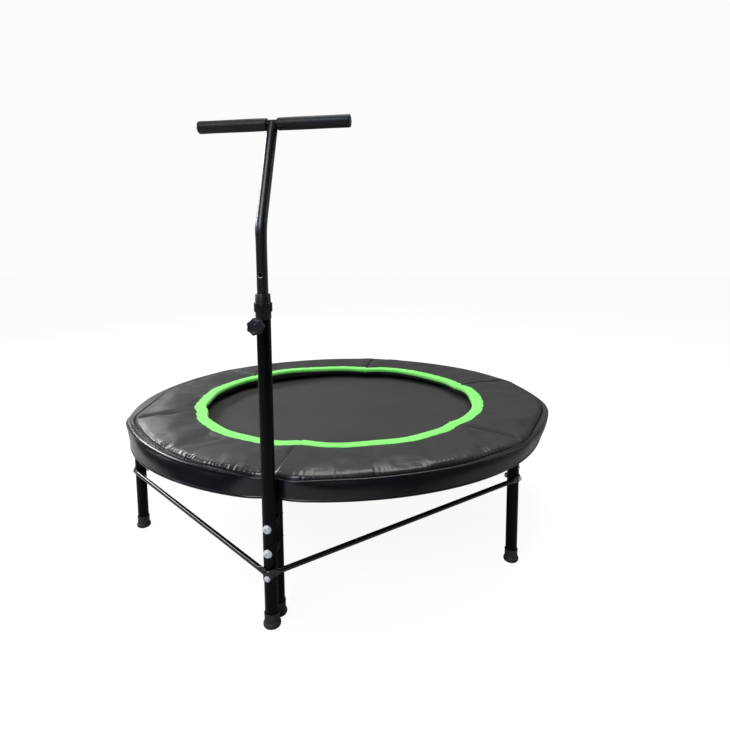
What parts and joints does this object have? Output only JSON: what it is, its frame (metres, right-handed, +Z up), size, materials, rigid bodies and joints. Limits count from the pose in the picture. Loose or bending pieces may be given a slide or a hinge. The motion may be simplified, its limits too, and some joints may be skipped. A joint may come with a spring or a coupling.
{
  "type": "mini trampoline",
  "caption": "Round fitness trampoline with a padded vinyl cover, a bright green edge round a woven mat, tube legs on rubber feet, brace rods and a height-adjustable T-bar handle.",
  "frame": {"origin": "the middle of the whole footprint on the floor; the centre of the ring and mat is 23 mm towards +Y", "axes": "+Z up; the handle is at -Y and leans towards +Y over the mat; +X to the right of someone who faces the handle from outside"},
  "size_m": [1.09, 1.136, 0.919],
  "materials": {
    "black_steel": "semi-gloss black powder coat",
    "zinc": "bright zinc plate",
    "black_rubber": "matt moulded rubber",
    "black_plastic": "satin moulded plastic",
    "grip_foam": "matt closed-cell foam",
    "padded_vinyl": "glossy coated vinyl over thin foam",
    "skirt_vinyl": "glossy coated vinyl",
    "green_binding": "bright woven binding tape",
    "mat_weave": "matt woven polypropylene",
    "black_webbing": "woven webbing and braided elastic"
  },
  "bodies": {
    "frame": {"frame_ring": "black_steel", "leg_front": "black_steel", "leg_front_right": "black_steel", "leg_back_right": "black_steel", "leg_back": "black_steel", "leg_back_left": "black_steel", "leg_front_left": "black_steel", "handle_post": "black_steel", "brace_rod_left": "black_steel", "brace_rod_right": "black_steel", "lock_boss": "black_steel", "leg_screw_front": "zinc", "leg_screw_front_right": "zinc", "leg_screw_back_right": "zinc", "leg_screw_back": "zinc", "leg_screw_back_left": "zinc", "leg_screw_front_left": "zinc", "post_bolt_lower": "zinc", "post_bolt_upper": "zinc", "post_nut_lower": "zinc", "post_nut_upper": "zinc", "brace_bolt_left": "zinc", "brace_bolt_right": "zinc", "brace_bolt_post": "zinc", "brace_nut_left": "zinc", "brace_nut_right": "zinc", "brace_nut_post": "zinc", "foot_front": "black_rubber", "foot_front_right": "black_rubber", "foot_back_right": "black_rubber", "foot_back": "black_rubber", "foot_back_left": "black_rubber", "foot_front_left": "black_rubber", "foot_handle_post": "black_rubber", "saddle_lower": "black_plastic", "saddle_upper": "black_plastic", "post_bush": "black_plastic", "pad_front_right": "padded_vinyl", "pad_right": "padded_vinyl", "pad_back_right": "padded_vinyl", "pad_back_left": "padded_vinyl", "pad_left": "padded_vinyl", "pad_front_left": "padded_vinyl", "pad_skirt": "skirt_vinyl", "pad_binding": "green_binding", "elastic_cord": "black_webbing", "skirt_elastic": "black_webbing"},
    "mat": {"jump_mat": "mat_weave", "mat_hem": "black_webbing"},
    "handle": {"handle_tube": "black_steel", "t_bar": "black_steel", "grip_left": "grip_foam", "grip_right": "grip_foam"},
    "collar": {"lock_collar": "black_plastic"},
    "lock_screw": {"lock_screw": "zinc"},
    "knob": {"lock_knob": "black_plastic"}
  },
  "joints": [
    {"name": "mat_bounce", "type": "slide", "parent": "frame", "child": "mat", "axis": [0, 0, -1], "range_m": [0, 0.1], "stiffness_N_per_m": 8000, "deforming": ["elastic_cord"]},
    {"name": "handle_slide", "type": "slide", "parent": "frame", "child": "handle", "axis": [0, 0, 1], "range_m": [-0.084, 0.126]},
    {"name": "collar_turn", "type": "hinge", "parent": "frame", "child": "collar", "pos_m": [0, -0.526, 0.597], "axis": [0, 0, 1], "range_deg": [0, 180]},
    {"name": "screw_travel", "type": "slide", "parent": "frame", "child": "lock_screw", "axis": [0, -1, 0], "range_m": [-0.004, 0.006]},
    {"name": "knob_turn", "type": "hinge", "parent": "lock_screw", "child": "knob", "pos_m": [0, -0.562, 0.5608], "axis": [0, -1, 0], "range_deg": [-1155, 1731]}
  ],
  "couplings": [
    {"joint": "knob_turn", "follows": "screw_travel", "rad_per_m": 5026.5}
  ]
}
